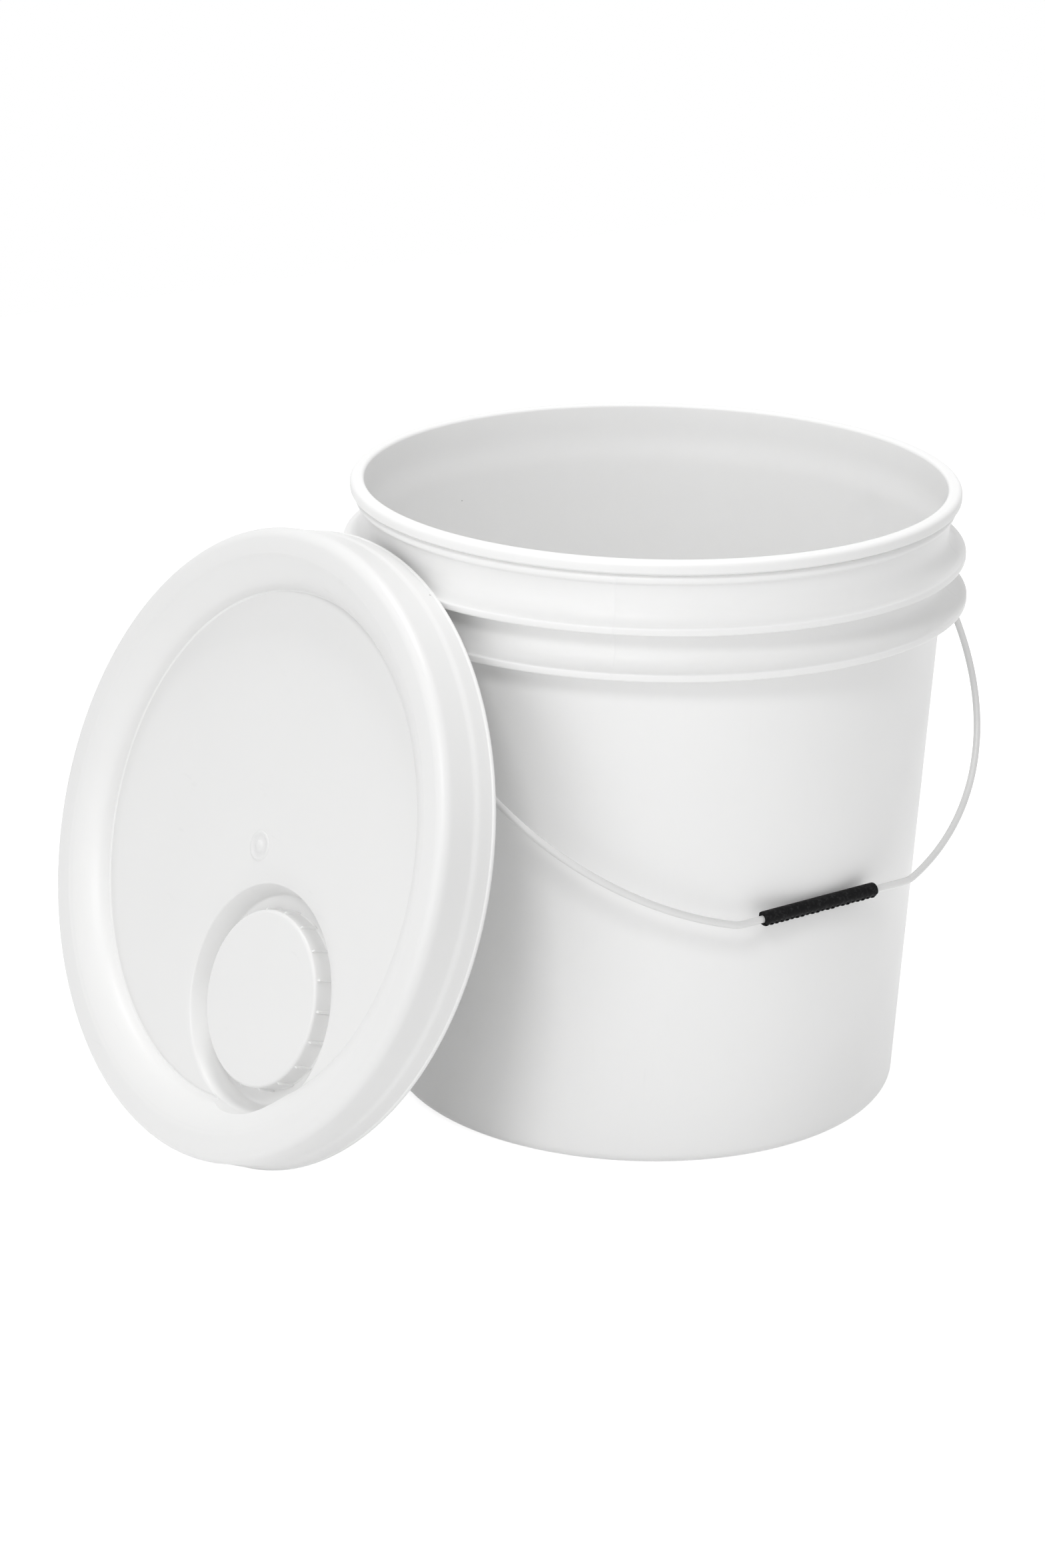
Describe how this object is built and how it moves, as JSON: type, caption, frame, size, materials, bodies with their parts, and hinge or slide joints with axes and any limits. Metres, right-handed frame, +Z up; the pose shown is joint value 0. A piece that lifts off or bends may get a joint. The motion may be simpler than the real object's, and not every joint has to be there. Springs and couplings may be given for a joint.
{
  "type": "plastic fermenting bucket",
  "caption": "Round tapered plastic fermenting bucket with a swinging wire bail, a slip-on grip and a press-on lid leaning against it.",
  "frame": {"origin": "centre of the bucket's foot ring, on the floor", "axes": "+Z up along the bucket's axis, X along the axis of the two ears that carry the bail, the bail hangs on the -Y side and the lid leans on the -X side"},
  "size_m": [0.3395, 0.2659, 0.243],
  "materials": {
    "bucket_plastic": "satin moulded white polyethylene",
    "lid_plastic": "satin moulded white polyethylene",
    "wire_coating": "thin white coating on steel wire",
    "grip_rubber": "black ribbed split sleeve",
    "gasket_foam": "pale foamed ring"
  },
  "bodies": {
    "bucket": {"bucket": "bucket_plastic"},
    "bail": {"bail_wire": "wire_coating"},
    "grip": {"bail_grip": "grip_rubber"},
    "lid": {"lid_shell": "lid_plastic", "lid_gasket": "gasket_foam"}
  },
  "joints": [
    {"name": "bail_swing", "type": "hinge", "parent": "bucket", "child": "bail", "pos_m": [0, 0, 0.2098], "axis": [-1, 0, 0], "range_deg": [0, 268.58]},
    {"name": "grip_spin", "type": "hinge", "parent": "bail", "child": "grip", "pos_m": [0, -0.10916, 0.10331], "axis": [1, 0, 0], "continuous": true},
    {"name": "lid_tip", "type": "hinge", "parent": "bucket", "child": "lid", "pos_m": [-0.18976, 0.02354, 0], "axis": [0.0262, -0.9997, 0], "range_deg": [0, 20]}
  ],
  "couplings": [
    {"joint": "lid_tip", "follows": "bail_swing", "ratio": 0.07446}
  ]
}
